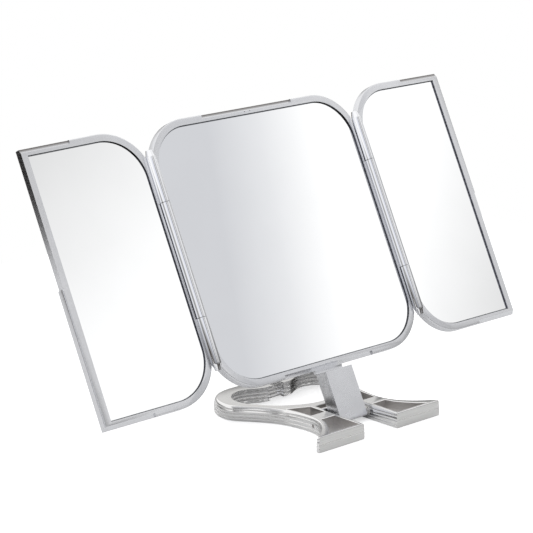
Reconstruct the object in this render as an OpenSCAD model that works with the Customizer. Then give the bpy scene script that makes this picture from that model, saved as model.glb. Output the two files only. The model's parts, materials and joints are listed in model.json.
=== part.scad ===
// Three-leaf dressing mirror on a short arm, with a stand that doubles as a hanging hook.
// X runs across the mirror, the glass faces -Y and Z is up.
// The origin is on the underside of the stand, on its middle line, below the web behind the arm.

/* [Leaves] */
// Width of the middle leaf; each side leaf is half as wide
leaf_w = 150; // [130:1:180]
// Height of all three leaves
leaf_h = 151; // [140:1:180]
// Radius of the rounded corners
corner_r = 28; // [20:1:32]
// Thickness of a leaf
leaf_t = 4.6; // [4.4:0.1:6]
// Width of the frame border seen from the front
border = 4.2; // [4:0.1:7]
// Angle that the mirror leans back from upright
recline = 26.2; // [20:0.1:30]
// How far the left leaf is folded back from flat
left_back = 4; // [0:0.5:6]
// How far the right leaf is folded back from flat
right_back = 1; // [0:0.5:6]

/* [Glass] */
// Depth of the glass behind the front of the frame
glass_recess = 1; // [0.8:0.1:1.4]
// Thickness of the glass
glass_t = 1.9; // [1.5:0.1:2]
// Thickness of the foam pad behind the glass
pad_t = 0.4; // [0.2:0.1:0.5]

/* [Leaf hinges] */
// Radius of the hinge knuckles
knuckle_r = 2.8; // [2.4:0.1:2.9]
// Length of the long middle knuckle
mid_knuckle = 64; // [50:1:70]
// Distance from one end of a hinge to the other
hinge_len = 122; // [110:1:126]
// Diameter of the hinge rods
rod_d = 2; // [1.6:0.1:2.2]

/* [Arm] */
// Width of the arm
arm_w = 19.5; // [16:0.5:20.5]
// Thickness of the arm with its cover
arm_t = 8.2; // [7.6:0.1:8.2]
// Distance from the lower pin to the edge of the mirror, along the arm
arm_reach = 28; // [26:0.5:30]
// Thickness of the front cover
cover_t = 1.3; // [1:0.1:1.6]

/* [Stand] */
// Height of the stand lying on the table
stand_h = 8.8; // [8.8:0.1:10]
// Half the width across the two feet
foot_half = 45.5; // [43:0.5:48]
// Length of the stand from the feet to the back of the loop
stand_len = 97.5; // [95:0.5:104]
// Gap between the two feet
slot_w = 24; // [23.5:0.5:26]
// Depth of the pockets in the feet
pocket_depth = 5.2; // [3:0.1:6]
// Thickness of the pocket walls
wall = 2.2; // [1.8:0.1:2.4]
// Width of the hanging notch in the loop
notch_w = 12.4; // [8:0.2:14]
// Diameter of the stand pin
pin_d = 2; // [1.6:0.1:2.4]

/* [Hidden] */
$fn = 96;
eps = 0.01;
fit = 0.04;      // radial clearance of a rod in its bore
seat = 0.1;      // clearance around a piece that sits still
run = 0.3;       // clearance between pieces that move

// Stand stations, measured back from the front of the feet, and the origin among them
front_y = -37.5;
pin_y = front_y + 25;
pin_z = 4.5;
rib_front = front_y + 21.2;
rib_back = front_y + 29.3;
slot_back = front_y + 32.4;
back_y = front_y + stand_len;

// Arm and mirror stations in the mirror's own plane: v is up the glass from its lower edge,
// n is forward from the front of the frame
arm_front = 6.2;
arm_mid = arm_front - arm_t / 2;
arm_back = arm_front - arm_t;
arm_top = -2.1;
pivot_v = -arm_reach;
top_v = -4.7;
top_n = -3.8;
top_r = 2.6;
lug_in = 3.2;
lug_out = 6;
saddle_t = 1.8;
half_w = leaf_w / 2;
hinge_n = 1.1;
rebate = border - 0.8;
back_t = leaf_t - glass_recess - glass_t - pad_t;
scoop_r = 5;
scoop_half = 32.5;
scoop_side = 30.5;
lap = 0.4;
relief_r = knuckle_r + 0.35;
taper = 4;
knuckle_len = (hinge_len - mid_knuckle - run) / 2;

silver = [0.79, 0.80, 0.82];
satin = [0.74, 0.74, 0.74];
steel = [0.6, 0.61, 0.63];
mirror_tint = [0.9, 0.92, 0.94];
dark = [0.2, 0.2, 0.21];

// ---- places ----

// From (x, v, n) in the mirror's plane to the real frame
module on_mirror() {
    translate([0, pin_y, pin_z]) rotate([90 - recline, 0, 0]) translate([0, arm_reach, -arm_mid])
        children();
}

// The hinge line of a leaf, with x running outward from it; side is -1 left, 1 right
module on_leaf(side, angle) {
    on_mirror() mirror([side < 0 ? 1 : 0, 0, 0])
        translate([half_w, 0, hinge_n]) rotate([0, angle, 0]) translate([0, 0, -hinge_n])
            children();
}

// A cylinder along v, from v1 to v2
module along_v(r, v1, v2) {
    translate([0, v1, 0]) rotate([-90, 0, 0]) cylinder(r = r, h = v2 - v1);
}

// A cylinder along x, from x1 to x2
module along_x(r, x1, x2) {
    translate([x1, 0, 0]) rotate([0, 90, 0]) cylinder(r = r, h = x2 - x1);
}

// A block between two corners
module block(low, high) {
    translate(low) cube(high - low);
}

// ---- curves ----

function bezier(a, b, c, d, steps) = [for (i = [0 : steps - 1]) let (t = i / steps, s = 1 - t)
    s * s * s * a + 3 * s * s * t * b + 3 * s * t * t * c + t * t * t * d];
function mirrored(points) = [for (i = [len(points) - 1 : -1 : 0]) [-points[i][0], points[i][1]]];
function side_dir(a, b) = let (d = b - a) [d[1], -d[0]] / norm(d);
// The same outline moved in by a distance, corner by corner
function inset(points, by) = [for (i = [0 : len(points) - 1])
    let (n = len(points), p = points[i],
         m = side_dir(points[(i + n - 1) % n], p), k = side_dir(p, points[(i + 1) % n]))
    p - by * (m + k) / (1 + m * k)];

// Outer edge of the stand: foot, waist and loop, for the right half
outer_half = concat(
    [[slot_w / 2, front_y], [foot_half - 0.8, front_y], [foot_half, front_y + 0.8]],
    bezier([foot_half, front_y + 1.6], [35.5, front_y + 8.5], [26, front_y + 16], [26, front_y + 29], 12),
    bezier([26, front_y + 29], [26, front_y + 57], [foot_half, front_y + 66], [foot_half, front_y + 76], 14),
    bezier([foot_half, front_y + 76], [foot_half, back_y - 7.5], [36, back_y], [24, back_y], 12),
    [[24, back_y]]);
outline = concat(outer_half, mirrored(outer_half),
    [[-slot_w / 2, slot_back], [slot_w / 2, slot_back]]);

// Opening of the loop, with the swelling that carries the hanging notch
opening_half = concat(
    [[notch_w / 2, back_y - 9.6], [notch_w / 2, back_y - 12.7]],
    bezier([notch_w / 2 + 1.2, back_y - 12.7], [13, back_y - 12.7], [16, back_y - 7], [24, back_y - 7], 8),
    bezier([24, back_y - 7], [33, back_y - 7], [39.2, back_y - 14.5], [39.2, back_y - 22.5], 10),
    bezier([39.2, back_y - 22.5], [39.2, back_y - 33.5], [24, front_y + 41.8], [0, front_y + 41.8], 16));
opening = concat(opening_half, mirrored([for (p = opening_half) if (p[0] > 0) p]));

// Pockets, for the right half; those on the left are their mirror image
front_pocket = [[slot_w / 2 + wall, front_y + 1.6], [36.4, front_y + 1.6], [28.6, front_y + 10.6],
    [25.4, front_y + 16], [24, rib_front], [slot_w / 2 + wall, rib_front]];
back_pocket = [[slot_w / 2 + wall - 0.6, rib_back], [23.8, rib_back], [24.4, front_y + 39],
    [26, front_y + 47], [13.6, front_y + 41]];
middle_pocket = [[-slot_w / 2 + 0.6, slot_back + wall], [slot_w / 2 - 0.6, slot_back + wall],
    [slot_w / 2 - 0.6, front_y + 39.4], [0, front_y + 39.4], [-slot_w / 2 + 0.6, front_y + 39.4]];

// ---- stand ----

module stand_slice(z, h, by) {
    translate([0, 0, z]) linear_extrude(h) difference() {
        polygon(inset(outline, by));
        polygon(inset(opening, by));
    }
}

module stand_hook() {
    shoulder = 0.5;
    groove = 0.45;
    band = (stand_h - 2 * shoulder - 3 * groove) / 4;
    color(satin) difference() {
        union() {
            stand_slice(0, shoulder, 0.6);
            for (i = [0 : 3]) stand_slice(shoulder + i * (band + groove), band + eps, 0);
            for (i = [0 : 2]) stand_slice(shoulder + band + i * (band + groove), groove + eps, 0.4);
            stand_slice(stand_h - shoulder, shoulder, 0.6);
            // bosses that keep the arm in the middle of the slot
            for (side = [-1, 1]) translate([side > 0 ? arm_w / 2 + 0.9 : -slot_w / 2 - 1, pin_y, pin_z])
                along_x(3.2, 0, slot_w / 2 + 1 - arm_w / 2 - 0.9);
        }
        for (side = [0, 1]) mirror([side, 0, 0]) translate([0, 0, stand_h - pocket_depth])
            linear_extrude(pocket_depth + 1) union() {
                polygon(front_pocket);
                polygon(back_pocket);
            }
        translate([0, 0, stand_h - pocket_depth]) linear_extrude(pocket_depth + 1) polygon(middle_pocket);
        translate([0, pin_y, pin_z]) along_x(pin_d / 2 + fit, -foot_half, foot_half);
    }
}

module stand_pin() {
    color(steel) translate([0, pin_y, pin_z]) along_x(pin_d / 2, -24.6, 24.6);
}

// Friction washer between the arm and a boss
module washer(side) {
    inner = arm_w / 2 + 0.15;
    color(steel) translate([side > 0 ? inner : -inner - 0.5, pin_y, pin_z]) difference() {
        along_x(2.9, 0, 0.5);
        along_x(pin_d / 2 + fit, -1, 2);
    }
}
module washer_left() { washer(-1); }
module washer_right() { washer(1); }

// ---- arm ----

// Side view of the arm: square above, with eased corners at its lower end
module arm_side(front, back, low) {
    ease = 1.6;
    union() {
        block([-arm_w / 2, low + ease, back], [arm_w / 2, arm_top, front]);
        if (front < arm_front) block([-arm_w / 2, low, back + ease], [arm_w / 2, low + ease + eps, front]);
        else block([-arm_w / 2, low, back], [arm_w / 2, low + ease + eps, front - ease]);
        translate([0, low + ease, front < arm_front ? back + ease : front - ease])
            along_x(ease, -arm_w / 2, arm_w / 2);
    }
}

module arm_body() {
    low = pivot_v - 2.9;
    front = arm_front - cover_t;
    color(silver) on_mirror() difference() {
        union() {
            arm_side(front, arm_back, low);
            translate([0, top_v, top_n]) along_x(top_r, -lug_in + run, lug_in - run);
            block([-lug_in + run, top_v - 3.4, top_n - 0.4], [lug_in - run, top_v, arm_back + 1]);
        }
        // room for the two lugs of the frame
        for (side = [-1, 1]) translate([side > 0 ? lug_in - run : -lug_out - run, top_v, top_n])
            along_x(top_r + run, 0, lug_out - lug_in + 2 * run);
        translate([0, top_v, top_n]) along_x(pin_d / 2 + fit, -arm_w, arm_w);
        translate([0, pivot_v, arm_mid]) along_x(pin_d / 2 + 0.6 + fit, -arm_w, arm_w);
        // screw holes from the back
        for (v = [-9.5, -20]) translate([0, v, arm_back - 1]) cylinder(d = 1.6 + 2 * fit, h = arm_t);
        for (v = [-9.5, -20]) translate([0, v, arm_back - 1]) cylinder(d = 3.4, h = 2.2);
    }
}

module arm_cover() {
    low = pivot_v - 2.9;
    ease = cover_t - 0.2;
    color(silver) on_mirror() difference() {
        intersection() {
            block([-arm_w / 2, low, arm_front - cover_t + 0.02], [arm_w / 2, arm_top, arm_front]);
            union() {
                block([-arm_w, low + ease, 0], [arm_w, arm_top + 1, arm_front + 1]);
                translate([0, low + ease, arm_front - ease]) along_x(ease, -arm_w, arm_w);
            }
        }
        for (v = [-9.5, -20]) translate([0, v, arm_front - cover_t - 1]) cylinder(d = 1.6 + 2 * fit, h = 1.7);
    }
}

module arm_bush() {
    color(dark) on_mirror() translate([0, pivot_v, arm_mid]) difference() {
        along_x(pin_d / 2 + 0.6, -arm_w / 2 + 0.1, arm_w / 2 - 0.1);
        along_x(pin_d / 2 + fit, -arm_w, arm_w);
    }
}

module arm_screws() {
    color(steel) on_mirror() for (v = [-9.5, -20]) translate([0, v, arm_back + 0.1]) difference() {
        union() {
            cylinder(d = 3, h = 1.08);
            cylinder(d = 1.6, h = arm_t - cover_t + 0.5);
        }
        for (a = [0, 90]) rotate(a) block([-0.9, -0.2, -1], [0.9, 0.2, 0.5]);
    }
}

module top_pin() {
    color(steel) on_mirror() translate([0, top_v, top_n]) along_x(pin_d / 2, -lug_out + 0.2, lug_out - 0.2);
}

// ---- leaves ----

// Middle leaf outline, moved in by a distance
module middle_shape(by) {
    r = corner_r - by;
    translate([0, leaf_h / 2]) union() {
        square([leaf_w - 2 * by, leaf_h - 2 * corner_r], center = true);
        square([leaf_w - 2 * corner_r, leaf_h - 2 * by], center = true);
        for (x = [-1, 1], y = [-1, 1]) translate([x * (half_w - corner_r), y * (leaf_h / 2 - corner_r)])
            circle(r);
    }
}

// Side leaf outline: rounded at the hinge, square at the free edge
module side_shape(by) {
    r = corner_r - by;
    union() {
        translate([by, corner_r]) square([half_w - 2 * by, leaf_h - 2 * corner_r]);
        translate([corner_r, by]) square([half_w - corner_r - by, leaf_h - 2 * by]);
        for (v = [corner_r, leaf_h - corner_r]) translate([corner_r, v]) circle(r);
    }
}

// Thick slice of a leaf from n1 up to n2
module slice(n1, n2) {
    translate([0, 0, n1]) linear_extrude(n2 - n1) children();
}

// Scoops for a fingertip along the upper and lower edges
module scoops(x1, x2) {
    for (v = [-1.44, leaf_h + 1.44]) translate([0, v, 3.2]) along_x(scoop_r, x1, x2);
}

glass_back = -glass_recess - glass_t;
pad_back = glass_back - pad_t;
screw_in = 9;
screw_d = 1.6;

module centre_frame() {
    color(silver) on_mirror() difference() {
        union() {
            difference() {
                slice(-leaf_t, 0) middle_shape(0.25);
                slice(-glass_recess, 1) middle_shape(border);
                slice(-leaf_t - 1, -glass_recess + eps) middle_shape(rebate);
                // room for the knuckles of the side leaves
                for (side = [-1, 1], v = [leaf_h / 2 - hinge_len / 2 - 3, leaf_h / 2 + mid_knuckle / 2])
                    translate([side * half_w, v, hinge_n])
                        along_v(relief_r, 0, hinge_len / 2 + 3 - mid_knuckle / 2);
                // bevel behind the hinge so that the leaves open a little past flat
                for (side = [-1, 1]) translate([side * half_w, 0, -leaf_t]) rotate([0, 45, 0])
                    block([-0.8, -1, -0.8], [0.8, leaf_h + 1, 0.8]);
            }
            for (side = [-1, 1]) {
                translate([side * half_w, 0, hinge_n])
                    along_v(knuckle_r, leaf_h / 2 - mid_knuckle / 2 + run / 2, leaf_h / 2 + mid_knuckle / 2 - run / 2);
                block([side > 0 ? half_w - 2.4 : -half_w, leaf_h / 2 - mid_knuckle / 2 + run / 2, -1.2],
                      [side > 0 ? half_w : -half_w + 2.4, leaf_h / 2 + mid_knuckle / 2 - run / 2, 1.6]);
                // lugs of the arm hinge
                translate([side * (lug_in + lug_out) / 2, top_v, top_n])
                    along_x(top_r, -(lug_out - lug_in) / 2, (lug_out - lug_in) / 2);
                block([side > 0 ? lug_in : -lug_out, top_v, -leaf_t], [side > 0 ? lug_out : -lug_in, 0.6, -2.4]);
            }
            block([-arm_w / 2, -saddle_t, -3.4], [arm_w / 2, 0.6, 0]);
            // catch studs that the closed side leaves click over
            for (x = [-1.9, 1.9], v = [2.4, leaf_h - 2.4]) translate([x, v, -0.6]) cylinder(r = 0.6, h = 0.9);
        }
        scoops(-scoop_half, scoop_half);
        for (side = [-1, 1]) translate([side * half_w, 0, hinge_n]) along_v(rod_d / 2 + fit, 10, leaf_h - 10);
        translate([0, top_v, top_n]) along_x(pin_d / 2 + fit, -lug_out - 1, lug_out + 1);
    }
}

module side_frame(proud_high) {
    difference() {
        union() {
            difference() {
                union() {
                    slice(-leaf_t, 0) side_shape(0.25);
                    // half lap of the free edge: one half stands proud, the other is set back
                    block([half_w - 4, proud_high ? leaf_h / 2 : 0.25, -leaf_t],
                          [half_w + 0.2, proud_high ? leaf_h - 0.25 : leaf_h / 2, 0]);
                }
                slice(-glass_recess, 1) side_shape(border);
                slice(-leaf_t - 1, -glass_recess + eps) side_shape(rebate);
                block([half_w - 2 * lap + 0.2, proud_high ? -1 : leaf_h / 2, -leaf_t - 1],
                      [half_w + 1, proud_high ? leaf_h / 2 : leaf_h + 1, 1]);
                // room for the middle knuckle
                translate([0, 0, hinge_n])
                    along_v(relief_r, leaf_h / 2 - mid_knuckle / 2, leaf_h / 2 + mid_knuckle / 2);
                translate([0, 0, -leaf_t]) rotate([0, 45, 0]) block([-0.8, -1, -0.8], [0.8, leaf_h + 1, 0.8]);
            }
            // two knuckles, each tapered towards its outer end
            for (end = [-1, 1]) translate([0, leaf_h / 2, 0]) mirror([0, end < 0 ? 1 : 0, 0]) {
                translate([0, mid_knuckle / 2 + run / 2, hinge_n]) rotate([-90, 0, 0]) {
                    cylinder(r = knuckle_r, h = knuckle_len - taper);
                    translate([0, 0, knuckle_len - taper]) cylinder(r1 = knuckle_r, r2 = rod_d / 2 + 0.7, h = taper);
                }
                block([0, mid_knuckle / 2 + run / 2, -glass_recess], [2.4, hinge_len / 2 - taper, hinge_n]);
            }
        }
        scoops(half_w - scoop_side, half_w + 5);
        translate([0, 0, hinge_n]) along_v(rod_d / 2 + fit, 10, leaf_h - 10);
    }
}

// Closing plate behind the glass, with a shallow field and countersunk screw holes
module back_plate(screws) {
    difference() {
        slice(-leaf_t, pad_back - 0.05) children(0);
        slice(-leaf_t - 1, -leaf_t + 0.25) children(1);
        for (p = screws) translate([p[0], p[1], -leaf_t - 1]) cylinder(d = screw_d + 2 * fit, h = 4);
        for (p = screws) translate([p[0], p[1], -leaf_t - 1]) cylinder(d = 2.6, h = 1.55);
    }
}

// Short self-tapping screws through the closing plate
module plate_screws(screws) {
    for (p = screws) translate([p[0], p[1], -leaf_t + 0.05]) difference() {
        union() {
            cylinder(d = 2.4, h = 0.48);
            cylinder(d = screw_d, h = back_t - 0.15);
        }
        for (a = [0, 90]) rotate(a) block([-0.8, -0.15, -1], [0.8, 0.15, 0.3]);
    }
}

centre_screw_places = [for (x = [-1, 1], y = [screw_in + 3, leaf_h - screw_in - 3]) [x * (half_w - 16), y]];
side_screw_places = [for (x = [16, half_w - screw_in], y = [screw_in + 3, leaf_h - screw_in - 3]) [x, y]];

module centre_back() {
    color(silver) on_mirror() back_plate(centre_screw_places) {
        middle_shape(rebate + seat);
        middle_shape(border + 12);
    }
}
module centre_glass() {
    color(mirror_tint) on_mirror() slice(glass_back, -glass_recess - 0.02) middle_shape(rebate + seat);
}
module centre_pad() {
    color(dark) on_mirror() slice(pad_back, glass_back - 0.02) middle_shape(rebate + 3);
}
module centre_screws() {
    color(steel) on_mirror() plate_screws(centre_screw_places);
}

module side_back() {
    back_plate(side_screw_places) {
        side_shape(rebate + seat);
        side_shape(border + 12);
    }
}
module side_glass() {
    slice(glass_back, -glass_recess - 0.02) side_shape(rebate + seat);
}
module side_pad() {
    slice(pad_back, glass_back - 0.02) side_shape(rebate + 3);
}
// Hinge rod, fixed in the middle knuckle
module rod(side) {
    color(steel) on_mirror() translate([side * half_w, 0, hinge_n])
        along_v(rod_d / 2, leaf_h / 2 - hinge_len / 2 + 1, leaf_h / 2 + hinge_len / 2 - 1);
}

module left_frame() { color(silver) on_leaf(-1, left_back) side_frame(false); }
module left_back() { color(silver) on_leaf(-1, left_back) side_back(); }
module left_glass() { color(mirror_tint) on_leaf(-1, left_back) side_glass(); }
module left_pad() { color(dark) on_leaf(-1, left_back) side_pad(); }
module left_screws() { color(steel) on_leaf(-1, left_back) plate_screws(side_screw_places); }
module left_rod() { rod(-1); }
module right_frame() { color(silver) on_leaf(1, right_back) side_frame(true); }
module right_back() { color(silver) on_leaf(1, right_back) side_back(); }
module right_glass() { color(mirror_tint) on_leaf(1, right_back) side_glass(); }
module right_pad() { color(dark) on_leaf(1, right_back) side_pad(); }
module right_screws() { color(steel) on_leaf(1, right_back) plate_screws(side_screw_places); }
module right_rod() { rod(1); }

stand_hook();
stand_pin();
washer_left();
washer_right();
arm_body();
arm_cover();
arm_bush();
arm_screws();
top_pin();
centre_frame();
centre_back();
centre_glass();
centre_pad();
centre_screws();
left_frame();
left_back();
left_glass();
left_pad();
left_screws();
left_rod();
right_frame();
right_back();
right_glass();
right_pad();
right_screws();
right_rod();
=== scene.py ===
import json
from math import hypot, pi, radians

import bmesh
import bpy
from mathutils import Matrix, Vector


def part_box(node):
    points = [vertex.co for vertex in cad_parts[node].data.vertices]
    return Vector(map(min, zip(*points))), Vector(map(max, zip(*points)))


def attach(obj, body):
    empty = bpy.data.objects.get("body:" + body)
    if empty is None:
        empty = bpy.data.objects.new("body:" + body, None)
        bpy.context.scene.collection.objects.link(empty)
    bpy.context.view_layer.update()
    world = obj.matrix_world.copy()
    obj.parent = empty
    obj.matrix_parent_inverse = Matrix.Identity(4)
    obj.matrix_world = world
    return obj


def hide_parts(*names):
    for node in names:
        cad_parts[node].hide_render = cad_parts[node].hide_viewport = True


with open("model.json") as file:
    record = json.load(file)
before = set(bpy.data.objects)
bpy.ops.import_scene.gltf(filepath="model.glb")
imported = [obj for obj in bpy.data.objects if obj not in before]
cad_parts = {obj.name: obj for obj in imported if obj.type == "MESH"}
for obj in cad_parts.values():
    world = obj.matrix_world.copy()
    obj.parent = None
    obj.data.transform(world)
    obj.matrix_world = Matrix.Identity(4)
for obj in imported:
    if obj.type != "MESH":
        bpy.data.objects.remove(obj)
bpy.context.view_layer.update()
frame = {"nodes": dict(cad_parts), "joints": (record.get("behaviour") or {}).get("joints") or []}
hinges = {joint["name"]: joint for joint in frame["joints"]}

# ---- Room ----
# A white studio over a small white floor. The walls carry one soft grey card that the glass
# looks into, and grey strips that draw the streaks on the round bright parts. Below the table
# the room is dark, and what the camera sees past the object is plain white.
scene = bpy.context.scene
scene.view_settings.view_transform = "Standard"


def node(tree, kind, feeds={}, **settings):
    """Adds a shader node, sets it up, and feeds its inputs from values or other sockets."""
    made = tree.nodes.new(kind)
    for name, value in settings.items():
        setattr(made, name, value)
    for place, source in feeds.items():
        if isinstance(source, bpy.types.NodeSocket):
            tree.links.new(source, made.inputs[place])
        else:
            made.inputs[place].default_value = source
    return made


def maths(tree, operation, *values):
    return node(tree, "ShaderNodeMath", dict(enumerate(values)), operation=operation).outputs[0]


def spread(tree, value, low, high, to_low, to_high):
    """Moves a value from one range to another, held at both ends."""
    feeds = {0: value, 1: low, 2: high, 3: to_low, 4: to_high}
    return node(tree, "ShaderNodeMapRange", feeds).outputs[0]


def ramp(tree, value, stops):
    """A colour ramp with its stops as (place, grey) or (place, colour)."""
    made = node(tree, "ShaderNodeValToRGB", {0: value})
    steps = made.color_ramp.elements
    while len(steps) < len(stops):
        steps.new(0.5)
    for step, (place, tone) in zip(steps, stops):
        step.position = place
        step.color = (*tone, 1) if isinstance(tone, tuple) else (tone, tone, tone, 1)
    return made.outputs[0]


up_the_glass = Vector(hinges["left_fold"]["axis"])
out_of_glass = Vector((1, 0, 0)).cross(up_the_glass)

scene.world = bpy.data.worlds.new("studio")
scene.world.use_nodes = True
walls = scene.world.node_tree
walls.nodes.clear()
way = node(walls, "ShaderNodeTexCoord").outputs["Generated"]


def share(direction):
    feeds = {0: way, 1: direction}
    return node(walls, "ShaderNodeVectorMath", feeds, operation="DOT_PRODUCT").outputs["Value"]


lift = share(up_the_glass)
turn = maths(walls, "ARCTAN2", share((1, 0, 0)), share(out_of_glass))
slant = maths(walls, "SUBTRACT", turn, maths(walls, "MULTIPLY", lift, 0.15))


def round_walls(angle, stops):
    """A ramp on the angle round the glass's upright line: 0 faces the glass, 90 is its right."""
    turned = spread(walls, angle, -pi, pi, 0, 1)
    return ramp(walls, turned, [((degree + 180) / 360, tone) for degree, tone in stops])


white = 1.12
card = (0.66, 0.668, 0.695)
flags = round_walls(slant, [
    (-180, white), (-174, white), (-170, 0.15), (-144, 0.15), (-138, white), (-60, white),
    (-45, (0.84, 0.86, 0.93)), (-22, (0.84, 0.86, 0.93)), (-18.5, 0.3), (-6.5, 0.3), (-4.5, 1.0),
    (6, 1.0), (8, 0.32), (18.5, 0.32), (21, white), (31, white), (34, card), (37.95, card),
    (38.7, (0.72, 0.728, 0.752)), (39.6, (0.87, 0.875, 0.89)), (40.5, 1.06), (41.5, white),
    (61, white), (63.5, 0.25), (68, 0.25), (71, white), (180, white)])
level = node(walls, "ShaderNodeSeparateXYZ", {0: way}).outputs["Z"]
heights = ramp(walls, spread(walls, level, -1, 1, 0, 1), [
    (0, (0.07, 0.06, 0.055)), (0.49, (0.07, 0.06, 0.055)), (0.51, 0.35), (0.565, 0.35), (0.62, 0.75),
    (0.66, 1.0), (1, 1.0)])
near_level = spread(walls, maths(walls, "ABSOLUTE", lift), 0.35, 0.55, 0, 1)
left_fade = spread(walls, maths(walls, "MULTIPLY_ADD", turn, -0.8, lift), -0.31, -0.20, 0.962, 0.68)
left_reach = round_walls(turn, [(0, 0), (20, 0), (24, 1), (30, 1), (33, 0), (180, 0)])
right_fade = spread(walls, maths(walls, "MULTIPLY_ADD", turn, -1.89, lift), -1.52, -1.421, 0.71, 0.962)
right_reach = round_walls(turn, [(0, 0), (43, 0), (44.5, 1), (58, 1), (62, 0), (180, 0)])


def mixed(tree, share_of, first, second, blend="MIX"):
    """A colour mix; share_of says how much of the second goes over the first."""
    made = node(tree, "ShaderNodeMix", data_type="RGBA", blend_type=blend)
    for place, source in ((0, share_of), (6, first), (7, second)):
        if isinstance(source, bpy.types.NodeSocket):
            tree.links.new(source, made.inputs[place])
        else:
            made.inputs[place].default_value = source
    return made.outputs[2]


tone = mixed(walls, near_level, flags, (white, white, white, 1))
tone = mixed(walls, 1.0, tone, heights, "MULTIPLY")
tone = mixed(walls, left_reach, tone, mixed(walls, 1.0, tone, left_fade, "MULTIPLY"))
tone = mixed(walls, right_reach, tone, mixed(walls, 1.0, tone, right_fade, "MULTIPLY"))
looking = node(walls, "ShaderNodeLightPath").outputs["Is Camera Ray"]
tone = mixed(walls, looking, tone, (1, 1, 1, 1))
lamp = node(walls, "ShaderNodeBackground", {"Color": tone, "Strength": 1.0})
node(walls, "ShaderNodeOutputWorld", {"Surface": lamp.outputs[0]})


def finish_mesh(name, bm, materials, body, replaced):
    """Turns a bmesh into a piece that rides on a body and stands for a CAD part."""
    mesh = bpy.data.meshes.new(name)
    bm.to_mesh(mesh)
    bm.free()
    for material in materials:
        mesh.materials.append(material)
    piece = bpy.data.objects.new(name, mesh)
    scene.collection.objects.link(piece)
    if body:
        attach(piece, body)
        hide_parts(*replaced)
    return piece


floor_paint = bpy.data.materials.new("white floor")
floor_paint.use_nodes = True
floor_shader = floor_paint.node_tree.nodes["Principled BSDF"]
floor_shader.inputs["Base Color"].default_value = (0.9, 0.9, 0.9, 1)
floor_shader.inputs["Roughness"].default_value = 0.9
floor_shader.inputs["Emission Color"].default_value = (1, 1, 1, 1)
looking = node(floor_paint.node_tree, "ShaderNodeLightPath").outputs["Is Camera Ray"]
lit = maths(floor_paint.node_tree, "MULTIPLY", looking, 0.5)
floor_paint.node_tree.links.new(lit, floor_shader.inputs["Emission Strength"])
bm = bmesh.new()
bmesh.ops.create_grid(bm, x_segments=1, y_segments=1, size=0.4)
floor = finish_mesh("floor", bm, [floor_paint], None, ())

camera = bpy.data.objects.new("camera", bpy.data.cameras.new("camera"))
scene.collection.objects.link(camera)
camera.data.lens = 149.46
camera.location = (-0.7842, -0.8423, 0.3938)
aim = Vector((0.6364, 0.7269, -0.2583)).to_track_quat("-Z", "Y")
camera.rotation_mode = "QUATERNION"
camera.rotation_quaternion = aim @ Matrix.Rotation(radians(-0.88), 4, "Z").to_quaternion()
scene.camera = camera

# ---- Stand ----
# One moulding of silver-plated plastic that lies on the table: two feet with open pockets, a
# narrow waist and a loop for hanging. Four soft reeds run round its edge, and the top is eased.
# The reeds, pockets and foot ends are lighter copies of the one plating: painted light on the
# reeds and foot ends, and painted light against the shade in the pockets.
mm = 0.001
stand_low, stand_high = (Vector(corner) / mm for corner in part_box("stand_hook"))
front_y, back_y = stand_low.y, stand_high.y
foot_half, stand_h = stand_high.x, stand_high.z
pin_y = hinges["arm_fold"]["pos_m"][1] / mm
pin_z = hinges["arm_fold"]["pos_m"][2] / mm
slot_half = 12
slot_back = front_y + 32.4
notch_half = 6.2


def curve(a, b, c, d, steps):
    """Points along a cubic curve, without its last point."""
    made = []
    for step in range(steps):
        t = step / steps
        s = 1 - t
        weights = (s ** 3, 3 * s * s * t, 3 * s * t * t, t ** 3)
        made.append(sum((w * Vector(p) for w, p in zip(weights, (a, b, c, d))), Vector((0, 0))))
    return made


def both_halves(half):
    """A right half from front to back, followed by its mirror image from back to front."""
    return half + [Vector((-p.x, p.y)) for p in reversed(half) if p.x > 0.001]


foot_half -= 0.02    # the outline stays a hair inside the CAD model's box
outer = [Vector((slot_half, front_y)), Vector((foot_half - 1.5, front_y))]
outer += curve((foot_half - 1.1, front_y), (foot_half - 0.4, front_y),
               (foot_half, front_y + 0.4), (foot_half, front_y + 1.3), 5)
outer += curve((foot_half, front_y + 1.6), (35.5, front_y + 8.5),
               (26, front_y + 16), (26, front_y + 29), 22)
outer += curve((26, front_y + 29), (26, front_y + 57),
               (foot_half, front_y + 66), (foot_half, front_y + 76), 26)
outer += curve((foot_half, front_y + 76), (foot_half, back_y - 7.5), (36, back_y), (24, back_y), 22)
outer.append(Vector((24, back_y)))
outer = both_halves(outer) + [Vector((-slot_half, slot_back)), Vector((slot_half, slot_back))]

loop = [Vector((notch_half, back_y - 9.6)), Vector((notch_half, back_y - 12.7))]
loop += curve((notch_half + 1.2, back_y - 12.7), (13, back_y - 12.7),
              (16, back_y - 7), (24, back_y - 7), 16)
loop += curve((24, back_y - 7), (33, back_y - 7), (39.2, back_y - 14.5), (39.2, back_y - 22.5), 20)
loop += curve((39.2, back_y - 22.5), (39.2, back_y - 33.5),
              (24, front_y + 41.8), (0, front_y + 41.8), 30)
loop = loop + [Vector((0, front_y + 41.8))] + [Vector((-p.x, p.y)) for p in reversed(loop)]

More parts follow.
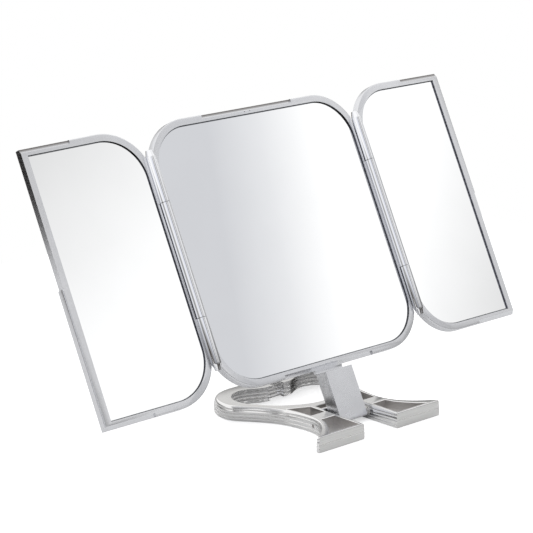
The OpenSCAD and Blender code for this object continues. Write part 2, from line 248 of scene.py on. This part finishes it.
# The reeded edge from the table up, as heights and how far each point lies inside the outline.
# The whole edge is bowed, most of all towards its top, and three soft grooves part its reeds.
reed = stand_h / 4
edge_profile = [(0, 1.3), (0.22, 0.72), (0.65, 0.38), (1.2, 0.2)]
for band, bow in ((1, 0.08), (2, 0.05), (3, 0.42)):
    edge_profile += [(band * reed - 0.5, bow + 0.02), (band * reed - 0.2, bow + 0.12),
                     (band * reed, bow + 0.42), (band * reed + 0.2, bow + 0.14),
                     (band * reed + 0.5, bow + 0.06)]
    if band < 3:
        edge_profile.append((band * reed + 1.1, (0, 0.16)[band - 1]))
edge_profile += [(stand_h - 1.25, 0.62), (stand_h - 0.8, 0.88), (stand_h - 0.42, 1.24),
                 (stand_h - 0.14, 1.7), (stand_h, 2.2)]


def softness(point):
    """How much of the rounding a stretch of edge has: all on the loop, less on the feet."""
    if abs(point.x) < slot_half + 0.1 and point.y < slot_back + 0.1:
        return 0.42
    return min(1, max(0.55, 0.55 + (point.y - front_y - 38) / 22))


def inset_points(points, by):
    """The outline moved in by a distance, corner by corner."""
    made = []
    for i, point in enumerate(points):
        before = (point - points[i - 1]).normalized()
        after = (points[(i + 1) % len(points)] - point).normalized()
        one, two = Vector((before.y, -before.x)), Vector((after.y, -after.x))
        made.append(point - by * (one + two) / (1 + one.dot(two)))
    return made


def ring(bm, points, height):
    verts = [bm.verts.new((p.x, p.y, height)) for p in points]
    return [bm.edges.new((verts[i - 1], verts[i])) for i in range(len(verts))]


def reeded_wall(bm, points, flat_front):
    """Skins the reeded edge up an outline, and gives back its bottom and top rings."""
    rings = []
    for height, depth in edge_profile:
        inner = inset_points(points, depth)
        placed = [was.lerp(now, softness(was)) for was, now in zip(points, inner)]
        if flat_front:
            middle = 0.35 if abs(height - stand_h / 2) < 0.1 else 0
            bow = 0.35 * max(0, height / stand_h - 0.5) + 0.25 * max(0, 0.1 - height)
            rim = 0.5 * max(0, height - stand_h + 0.5)
            for was, now in zip(points, placed):
                if was.y < front_y + 0.001:
                    now.y = front_y + middle + bow + rim
        rings.append(ring(bm, placed, height))
    for low, high in zip(rings, rings[1:]):
        bmesh.ops.bridge_loops(bm, edges=low + high)
    return rings[0], rings[-1]


wall = 2.2
rib_front, rib_back = front_y + 21.2, front_y + 29.3
foot_pocket = [(slot_half + wall, front_y + 1.6), (36.4, front_y + 1.6), (31.9, front_y + 6.1),
               (28.6, front_y + 10.6), (25.4, front_y + 16), (24, rib_front),
               (slot_half + wall, rib_front)]
waist_pocket = [(slot_half + wall - 0.6, rib_back), (23.8, rib_back), (24.4, front_y + 39),
                (26, front_y + 47), (13.6, front_y + 41)]
web_pocket = [(-slot_half + 0.6, slot_back + wall), (slot_half - 0.6, slot_back + wall),
              (slot_half - 0.6, front_y + 39.4), (-slot_half + 0.6, front_y + 39.4)]
pockets = [web_pocket]
for pocket in (foot_pocket, waist_pocket):
    pockets += [pocket, [(-x, y) for x, y in reversed(pocket)]]
pocket_floor = stand_h - 5.2
rim_ease = 0.25
flat_top, sunk, foot_end, reeded = range(4)

bm = bmesh.new()
outer_low, outer_high = reeded_wall(bm, outer, True)
inner_low, inner_high = reeded_wall(bm, list(reversed(loop)), False)
bmesh.ops.triangle_fill(bm, use_beauty=True, edges=outer_low + inner_low)
mouths = []
for pocket in pockets:
    shape = [Vector(point) for point in pocket]
    mouth = ring(bm, inset_points(shape, -rim_ease), stand_h)
    lip = ring(bm, shape, stand_h - rim_ease)
    bottom = ring(bm, shape, pocket_floor)
    bmesh.ops.bridge_loops(bm, edges=mouth + lip)
    walled = bmesh.ops.bridge_loops(bm, edges=lip + bottom)["faces"]
    walled += [g for g in bmesh.ops.triangle_fill(bm, use_beauty=True, edges=bottom)["geom"]
               if isinstance(g, bmesh.types.BMFace)]
    for face in walled:
        face.material_index = sunk
    mouths += mouth
bmesh.ops.triangle_fill(bm, use_beauty=True, edges=outer_high + inner_high + mouths)
bmesh.ops.recalc_face_normals(bm, faces=bm.faces)


def shade(bm, angle):
    """Smooth shading, with a crease kept wherever two faces meet at more than the angle."""
    for face in bm.faces:
        face.smooth = True
    for edge in bm.edges:
        edge.smooth = edge.calc_face_angle(0) < radians(angle)


for face in bm.faces:
    if face.normal.y < -0.9 and face.calc_center_median().y < front_y + 0.6:
        face.material_index = foot_end
    elif face.material_index == flat_top and face.normal.z < 0.95:
        face.material_index = reeded
shade(bm, 32)
bmesh.ops.scale(bm, vec=(mm, mm, mm), verts=bm.verts)

# Marked edges take the edge tone in patches: wear where that tone is lighter, painted edge shade where it
# is dark.
edge_wear_and_painted_shade = bpy.data.node_groups.new("edge wear and painted edge shade", "ShaderNodeTree")
edge_wear_and_painted_shade.interface.new_socket("Place", in_out="INPUT", socket_type="NodeSocketVector")
edge_wear_and_painted_shade.interface.new_socket("Wear and shade", in_out="OUTPUT", socket_type="NodeSocketFloat")
taken = node(edge_wear_and_painted_shade, "NodeGroupInput").outputs
edge = node(edge_wear_and_painted_shade, "ShaderNodeAttribute", attribute_name="edge").outputs["Fac"]
patchy = node(edge_wear_and_painted_shade, "ShaderNodeTexNoise", {"Vector": taken["Place"], "Scale": 140.0, "Detail": 3.0})
patchy = spread(edge_wear_and_painted_shade, patchy.outputs[0], 0.38, 0.62, 0.15, 1)
node(edge_wear_and_painted_shade, "NodeGroupOutput", {0: maths(edge_wear_and_painted_shade, "MULTIPLY", edge, patchy)})

handled = bpy.data.node_groups.new("handled plating", "ShaderNodeTree")
for name in ("Place", "Smoothest", "Roughest", "Size"):
    kind = "NodeSocketVector" if name == "Place" else "NodeSocketFloat"
    handled.interface.new_socket(name, in_out="INPUT", socket_type=kind)
for name in ("Roughness", "Tone", "Height"):
    handled.interface.new_socket(name, in_out="OUTPUT", socket_type="NodeSocketFloat")
taken = node(handled, "NodeGroupInput").outputs
clouds = node(handled, "ShaderNodeTexNoise",
              {"Vector": taken["Place"], "Scale": taken["Size"], "Detail": 4.0,
               "Roughness": 0.6}).outputs[0]
smears = node(handled, "ShaderNodeTexNoise",
              {"Vector": taken["Place"], "Scale": maths(handled, "MULTIPLY", taken["Size"], 7.0),
               "Detail": 2.0, "Distortion": 1.4}).outputs[0]
both = maths(handled, "MULTIPLY_ADD", smears, 0.35, maths(handled, "MULTIPLY", clouds, 0.65))
ripple = node(handled, "ShaderNodeTexNoise",
              {"Vector": taken["Place"], "Scale": 260.0, "Detail": 1.0}).outputs[0]
given = node(handled, "NodeGroupOutput")
handled.links.new(spread(handled, both, 0.35, 0.65, 0, 1), given.inputs["Tone"])
handled.links.new(ripple, given.inputs["Height"])
rough = node(handled, "ShaderNodeMapRange", {0: both, 1: 0.35, 2: 0.65,
                                             3: taken["Smoothest"], 4: taken["Roughest"]}).outputs[0]
handled.links.new(rough, given.inputs["Roughness"])


def plated(name, colour, roughness, size=60.0, ripple=0.008, brushed=0.0, clouding=0.015, edge=None):
    """Vacuum-plated plastic: a metal skin, a little cloudy, with its marked edges in another tone: a
    lighter worn tone by default, painted edge shade where a dark tone is given, and a painted near-black
    shade in marked scoops.
    """
    made = bpy.data.materials.new(name)
    made.use_nodes = True
    tree = made.node_tree
    shader = tree.nodes["Principled BSDF"]
    shader.inputs["Metallic"].default_value = 1.0
    place = node(tree, "ShaderNodeTexCoord").outputs["Object"]
    film = node(tree, "ShaderNodeGroup", node_tree=handled)
    tree.links.new(place, film.inputs["Place"])
    film.inputs["Smoothest"].default_value = roughness * 0.9
    film.inputs["Roughest"].default_value = roughness * 1.12
    film.inputs["Size"].default_value = size
    edge_tone_share = node(tree, "ShaderNodeGroup", {0: place}, node_tree=edge_wear_and_painted_shade).outputs[0]
    dull = tuple(part * (1 - clouding) for part in colour)
    clear = tuple(min(1, part * (1 + clouding)) for part in colour)
    edge = edge or tuple(min(1, part * 1.25) for part in colour)
    surface = mixed(tree, film.outputs["Tone"], (*clear, 1), (*dull, 1))
    surface = mixed(tree, edge_tone_share, surface, (*edge, 1))
    # Marked scoop faces are mixed towards near black: painted shade in the sunk scoops.
    painted_hollow_shade = node(tree, "ShaderNodeAttribute", attribute_name="painted_hollow_shade").outputs["Fac"]
    surface = mixed(tree, painted_hollow_shade, surface, (0.11, 0.10, 0.092, 1))
    bump = node(tree, "ShaderNodeBump", {"Height": film.outputs["Height"],
                                         "Strength": ripple, "Distance": 0.0002})
    if brushed:
        lie = node(tree, "ShaderNodeMapping", {"Vector": place, "Scale": (30.0, 30.0, 3000.0)}).outputs[0]
        lines = node(tree, "ShaderNodeTexNoise", {"Vector": lie, "Scale": 1.0, "Detail": 3.0}).outputs[0]
        lines = spread(tree, lines, 0.35, 0.65, 0, 1)
        surface = mixed(tree, maths(tree, "MULTIPLY", lines, brushed), surface, (0.36, 0.35, 0.34, 1))
        bump = node(tree, "ShaderNodeBump", {"Height": lines, "Strength": 0.25, "Distance": 0.00005,
                                             "Normal": bump.outputs[0]})
    tree.links.new(surface, shader.inputs["Base Color"])
    tree.links.new(film.outputs["Roughness"], shader.inputs["Roughness"])
    tree.links.new(bump.outputs[0], shader.inputs["Normal"])
    return made


stand_plating = plated("satin stand plating", (0.53, 0.524, 0.514), 0.17, size=45.0, ripple=0.02)
# The pockets and the pin bore are painted lighter than the top: painted light against their shade.
pocket_plating_painted_light = plated("pocket plating painted lighter", (0.68, 0.665, 0.655), 0.34, size=90.0, clouding=0.1)
# The front-facing foot ends are painted lighter than the top, which is painted light, with real brushed
# lines over it.
foot_plating_brushed_and_painted_light = plated("brushed foot ends painted lighter", (0.74, 0.74, 0.73), 0.3, brushed=0.3)
# The reeds are painted lighter than the top: a painted highlight on the stand's sides.
reed_plating_painted_light = plated("reeds painted lighter than the top", (0.80, 0.795, 0.79), 0.13, size=45.0, ripple=0.02)
stand = finish_mesh("looped_stand", bm, [stand_plating, pocket_plating_painted_light, foot_plating_brushed_and_painted_light, reed_plating_painted_light],
                    "stand", ["stand_hook"])

# The cross hole for the pin breaks out of both outer walls, and two round bosses stand in the
# slot to keep the arm in its middle. Both are part of the same moulding.
bm = bmesh.new()
bore_r, wall_out = 1.0, 34
for side in (-1, 1):
    sideways = Matrix.Translation((side * wall_out * mm, pin_y * mm, pin_z * mm))
    sideways = sideways @ Matrix.Rotation(pi / 2, 4, "Y")
    bmesh.ops.create_cone(bm, cap_ends=True, segments=32, radius1=bore_r * mm, radius2=bore_r * mm,
                          depth=2 * (wall_out - 25) * mm, matrix=sideways)
drill = finish_mesh("drill", bm, [pocket_plating_painted_light], None, ())
cut = stand.modifiers.new("pin hole", "BOOLEAN")
cut.object = drill
cut.solver = "EXACT"
bored = bpy.data.meshes.new_from_object(stand.evaluated_get(bpy.context.evaluated_depsgraph_get()))
stand.modifiers.clear()
bpy.data.objects.remove(drill)
stand.data = bored

arm_high = Vector(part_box("arm_body")[1]) / mm
boss_gap, boss_r, sunk_in_foot = 0.9, 3.2, 0.4
face_x = arm_high.x + boss_gap
length = slot_half + sunk_in_foot - face_x
bm = bmesh.new()
for side in (-1, 1):
    sideways = Matrix.Translation((side * (face_x + length / 2), pin_y, pin_z))
    sideways = sideways @ Matrix.Rotation(side * pi / 2, 4, "Y")
    bmesh.ops.create_cone(bm, cap_ends=True, segments=48, radius1=boss_r, radius2=boss_r - 0.15,
                          depth=length, matrix=sideways)
rims = [e for e in bm.edges if e.calc_face_angle(0) > radians(60)]
bmesh.ops.bevel(bm, geom=rims, offset=0.2, segments=2, profile=0.5, affect="EDGES", material=-1)
shade(bm, 40)
bmesh.ops.scale(bm, vec=(mm, mm, mm), verts=bm.verts)
finish_mesh("stand_bosses", bm, [stand_plating], "stand", [])

# ---- Stand pin and washers ----
# A drawn steel pin through both feet and the arm, and a spring washer each side of the arm
# that keeps the fold stiff.


def paint(names, material):
    """Gives a finish to CAD parts that are already the right shape."""
    for name in names:
        for place in frame["nodes"][name].material_slots:
            place.link = "OBJECT"
            place.material = material


steel = plated("drawn steel", (0.62, 0.63, 0.65), 0.22, size=160.0, ripple=0.02)
paint(["stand_pin", "washer_left", "washer_right"], steel)

# ---- Arm ----
# A silver-plated box moulding that swings down between the feet, and a thin cover strip over
# its whole front, held by two screws from behind.
easing = 0.22


def crisp_edges(bm):
    """The outward corners of a part that are sharp enough to be eased."""
    return [e for e in bm.edges if e.is_convex and e.calc_face_angle(0) > radians(35)]


def eased_copy(name, easing, rounded=None, radius=0):
    """A welded copy of a CAD part, its flat faces made whole and its crisp edges eased.

    Edges that rounded() picks are given a full rounding of their own."""
    bm = bmesh.new()
    bm.from_mesh(frame["nodes"][name].data)
    bmesh.ops.remove_doubles(bm, verts=bm.verts, dist=0.000002)
    bmesh.ops.dissolve_limit(bm, angle_limit=radians(0.6), verts=bm.verts, edges=bm.edges)
    mark = bm.faces.layers.float.new("edge")
    bm.faces.layers.float.new("painted_hollow_shade")
    if rounded:
        chosen = [e for e in crisp_edges(bm) if rounded((e.verts[0].co + e.verts[1].co) / 2)]
        bmesh.ops.bevel(bm, geom=chosen, offset=radius * mm, segments=4, profile=0.5,
                        affect="EDGES", material=-1)
    eased = bmesh.ops.bevel(bm, geom=crisp_edges(bm), offset=easing * mm, segments=1, profile=0.5,
                            affect="EDGES", material=-1, clamp_overlap=True)["faces"]
    for face in eased:
        face[mark] = 1
    shade(bm, 30)
    return bm


# The arm's eased edges take a dark tone: a painted shade outline.
arm_plating = plated("satin arm plating", (0.70, 0.705, 0.725), 0.28, size=50.0, edge=(0.25, 0.25, 0.26))
finish_mesh("arm_shell", eased_copy("arm_body", easing), [arm_plating],
            "arm", ["arm_body"])
finish_mesh("arm_front_strip", eased_copy("arm_cover", easing), [arm_plating],
            "arm", ["arm_cover"])
paint(["arm_screws"], steel)

# ---- Arm bush and top pin ----
# A dark nylon sleeve that lines the arm's lower bore, and the short steel pin on which the
# middle leaf folds back over the arm.
nylon = bpy.data.materials.new("moulded nylon")
nylon.use_nodes = True
nylon_tree = nylon.node_tree
place = node(nylon_tree, "ShaderNodeTexCoord").outputs["Object"]
grain = node(nylon_tree, "ShaderNodeTexNoise", {"Vector": place, "Scale": 1800.0}).outputs[0]
nylon_tone = mixed(nylon_tree, grain, (0.035, 0.035, 0.037, 1), (0.055, 0.055, 0.058, 1))
nylon_shader = nylon_tree.nodes["Principled BSDF"]
nylon_tree.links.new(nylon_tone, nylon_shader.inputs["Base Color"])
nylon_tree.links.new(spread(nylon_tree, grain, 0.3, 0.7, 0.45, 0.6), nylon_shader.inputs["Roughness"])
paint(["arm_bush"], nylon)
paint(["top_pin"], steel)

# ---- Leaf frames ----
# Three bright silver-plated mouldings with rounded corners. The round hinge knuckles down their
# sides are part of them, and the lip round each glass is painted dark and flecked: painted shade and
# reflection.
leaf_h, half_w, corner_r = 151, 75, 28
hinge_n, knuckle_r = 1.1, 2.8
glass_recess = 1.0
side_turns = {"left": (-1, radians(4)), "right": (1, radians(1))}
lower_edge = Vector((0, pin_y, pin_z)) + up_the_glass * 28 - out_of_glass * 2.1
on_glass = Matrix((Vector((1, 0, 0)), up_the_glass, out_of_glass)).transposed().to_4x4()
on_glass = Matrix.Scale(mm, 4) @ Matrix.Translation(lower_edge) @ on_glass
places = {"centre": on_glass}
for name, (side, turned) in side_turns.items():
    flip = Matrix.Diagonal((side, 1, 1, 1))
    swung = Matrix.Translation((half_w, 0, hinge_n)) @ Matrix.Rotation(turned, 4, "Y")
    places[name] = on_glass @ flip @ swung @ Matrix.Translation((0, 0, -hinge_n))


def depth_in_outline(leaf, x, v):
    """How far a point lies inside a leaf's outline."""
    up = abs(v - leaf_h / 2)
    if leaf == "centre":
        across = abs(x) - (half_w - corner_r)
        free_edge = half_w - abs(x)
    else:
        across = corner_r - x
        free_edge = min(x, half_w - x)
    above = up - (leaf_h / 2 - corner_r)
    if across > 0 and above > 0:
        return corner_r - hypot(across, above)
    return min(free_edge, leaf_h / 2 - up)


# The frame's eased edges take a near-black tone: painted edge shade.
frame_plating = plated("bright frame plating", (0.70, 0.705, 0.725), 0.24, size=40.0,
                       edge=(0.12, 0.12, 0.13))
knuckle_plating = plated("polished knuckles", (0.86, 0.865, 0.885), 0.035, size=70.0, ripple=0.0)
lip_painted_dark = plated("lip painted dark with jagged flecks", (0.30, 0.30, 0.32), 0.2, size=900.0, ripple=0.3, clouding=0.7)
scoop_v, scoop_n, scoop_r = leaf_h + 1.44, 3.2, 5.0
frame_easing, rim_rounding = 0.16, 0.6
on_knuckle, on_lip = 1, 2
leaf_bodies = {"centre": "middle_leaf", "left": "left_leaf", "right": "right_leaf"}
for leaf, body in leaf_bodies.items():
    to_leaf = places[leaf].inverted()

    def on_front_rim(point):
        x, v, n = to_leaf @ point
        return abs(n) < 0.05 and depth_in_outline(leaf, x, v) < 0.6

    bm = eased_copy(leaf + "_frame", frame_easing, on_front_rim, rim_rounding)
    hinge_x = (-half_w, half_w) if leaf == "centre" else (0,)
    side = -1 if leaf == "left" else 1
    mark = bm.faces.layers.float["edge"]
    painted_hollow_shade = bm.faces.layers.float["painted_hollow_shade"]
    for face in bm.faces:
        x, v, n = to_leaf @ face.calc_center_median()
        facing = (to_leaf.to_3x3() @ face.normal).normalized()
        from_hinge = min(hypot(x - line, n - hinge_n) for line in hinge_x)
        if from_hinge < knuckle_r + 0.03 and n > -1.6 and abs(facing.y) < 0.5:
            face.material_index = on_knuckle
        # Lip walls round the glass take the dark flecked tone: painted shade and reflection.
        elif -glass_recess < n < -0.05 and abs(facing.z) < 0.6 and depth_in_outline(leaf, x, v) > 3:
            face.material_index = on_lip
        # The sunk scoop at the leaf top is painted darker towards its outer edge: painted shade.
        if abs(hypot(v - scoop_v, n - scoop_n) - scoop_r) < 0.06 and n < 0.02:
            face[painted_hollow_shade] = min(1, max(0, -n / 1.5))
            face[mark] = 0
        # Eased edges that face one way across the leaf, or lie behind its front, take most of the dark
        # edge tone: painted shade. The others take little.
        elif face[mark]:
            face[mark] = 0.9 if facing.x * side < -0.2 or n < 0 else 0.15
    finish_mesh(leaf + "_leaf_frame", bm, [frame_plating, knuckle_plating, lip_painted_dark],
                body, [leaf + "_frame"])
paint(["left_rod", "right_rod"], steel)

# ---- Mirror glasses ----
# Silvered float glass, 1.9 mm thick, dropped into each frame from behind. A dark rim is
# painted round the front of each glass: painted shadow and reflection of the lip above it.
rebate, seat, glass_t = 3.4, 0.1, 1.9
dark_rim = 1.25
dark_edge, ground, painted = 1, 2, 3
silvering = bpy.data.materials.new("silvered glass")
silvering.use_nodes = True
silver_tree = silvering.node_tree
silver_shader = silver_tree.nodes["Principled BSDF"]
silver_shader.inputs["Metallic"].default_value = 1.0
dust = node(silver_tree, "ShaderNodeTexNoise",
            {"Vector": node(silver_tree, "ShaderNodeTexCoord").outputs["Object"],
             "Scale": 35.0, "Detail": 5.0}).outputs[0]
silver_tone = mixed(silver_tree, spread(silver_tree, dust, 0.4, 0.7, 0, 1),
                    (0.97, 0.975, 0.98, 1), (0.955, 0.96, 0.965, 1))
silver_tree.links.new(silver_tone, silver_shader.inputs["Base Color"])
silver_tree.links.new(spread(silver_tree, dust, 0.45, 0.75, 0.0, 0.03), silver_shader.inputs["Roughness"])
# The dark rim tone is a painted shadow and reflection of the lip.
rim_shade = plated("dark rim painted on the glass front", (0.16, 0.165, 0.175), 0.12, size=1200.0, clouding=0.5)
ground_edge = plated("ground edge of the glass", (0.30, 0.36, 0.34), 0.45, size=300.0)
back_paint = plated("grey mirror backing", (0.23, 0.24, 0.25), 0.6, size=120.0)


def leaf_blank(leaf, inside, front, back):
    """A flat plate of a leaf's outline, moved in by a distance."""
    bm = bmesh.new()
    bmesh.ops.create_grid(bm, x_segments=1, y_segments=1, size=0.5)
    width = 2 * half_w if leaf == "centre" else half_w
    middle = 0 if leaf == "centre" else half_w / 2
    bmesh.ops.scale(bm, vec=(width - 2 * inside, leaf_h - 2 * inside, 1), verts=bm.verts)
    bmesh.ops.translate(bm, vec=(middle, leaf_h / 2, front), verts=bm.verts)
    rounded = [v for v in bm.verts if leaf == "centre" or v.co.x < middle]
    bmesh.ops.bevel(bm, geom=rounded, offset=corner_r - inside, segments=24, profile=0.5,
                    affect="VERTICES", material=-1)
    for face in bm.faces:
        if face.normal.z < 0:
            face.normal_flip()
    return bm


def thicken(bm, depth):
    """Gives a face-up plate its thickness, downwards."""
    base = list(bm.faces)
    deeper = bmesh.ops.extrude_face_region(bm, geom=base, use_keep_orig=True)["geom"]
    lower = [g for g in deeper if isinstance(g, bmesh.types.BMVert)]
    bmesh.ops.translate(bm, vec=(0, 0, -depth), verts=lower)
    bmesh.ops.recalc_face_normals(bm, faces=bm.faces)


for leaf, body in leaf_bodies.items():
    bm = leaf_blank(leaf, rebate + seat, -glass_recess - 0.02, glass_t)
    bmesh.ops.inset_region(bm, faces=list(bm.faces), thickness=dark_rim, use_boundary=True,
                           use_even_offset=True)
    thicken(bm, glass_t - 0.02)
    for face in bm.faces:
        # The inset ring round the front face takes the dark rim tone: painted shadow and reflection.
        if face.normal.z > 0.5 and len(face.verts) == 4 and face.calc_area() < 400:
            face.material_index = dark_edge
        elif abs(face.normal.z) < 0.5:
            face.material_index = ground
        elif face.normal.z < -0.5:
            face.material_index = painted
    bmesh.ops.transform(bm, matrix=places[leaf], verts=bm.verts)
    bmesh.ops.recalc_face_normals(bm, faces=bm.faces)
    finish_mesh(leaf + "_mirror", bm, [silvering, rim_shade, ground_edge, back_paint],
                body, [leaf + "_glass"])

# ---- Foam pads ----
# A thin sheet of closed-cell foam behind each glass, pressed flat by the back cover.
foam = bpy.data.materials.new("closed cell foam")
foam.use_nodes = True
foam_tree = foam.node_tree
place = node(foam_tree, "ShaderNodeTexCoord").outputs["Object"]
cells = node(foam_tree, "ShaderNodeTexVoronoi", {"Vector": place, "Scale": 1500.0}).outputs["Distance"]
foam_shader = foam_tree.nodes["Principled BSDF"]
foam_tree.links.new(mixed(foam_tree, cells, (0.03, 0.03, 0.032, 1), (0.08, 0.08, 0.084, 1)),
                    foam_shader.inputs["Base Color"])
foam_shader.inputs["Roughness"].default_value = 0.9
foam_bump = node(foam_tree, "ShaderNodeBump", {"Height": cells, "Strength": 0.4, "Distance": 0.0002})
foam_tree.links.new(foam_bump.outputs[0], foam_shader.inputs["Normal"])
paint([leaf + "_pad" for leaf in leaf_bodies], foam)

# ---- Back covers ----
# A plated plate closes each leaf from behind, with a shallow sunk field inside a raised
# border, and small screws in countersunk holes near its corners.
cover_easing = 0.12
cover_plating = plated("satin back plating", (0.62, 0.625, 0.64), 0.32, size=30.0, ripple=0.015)
for leaf, body in leaf_bodies.items():
    finish_mesh(leaf + "_back_cover", eased_copy(leaf + "_back", cover_easing), [cover_plating],
                body, [leaf + "_back"])
paint([leaf + "_screws" for leaf in leaf_bodies], steel)
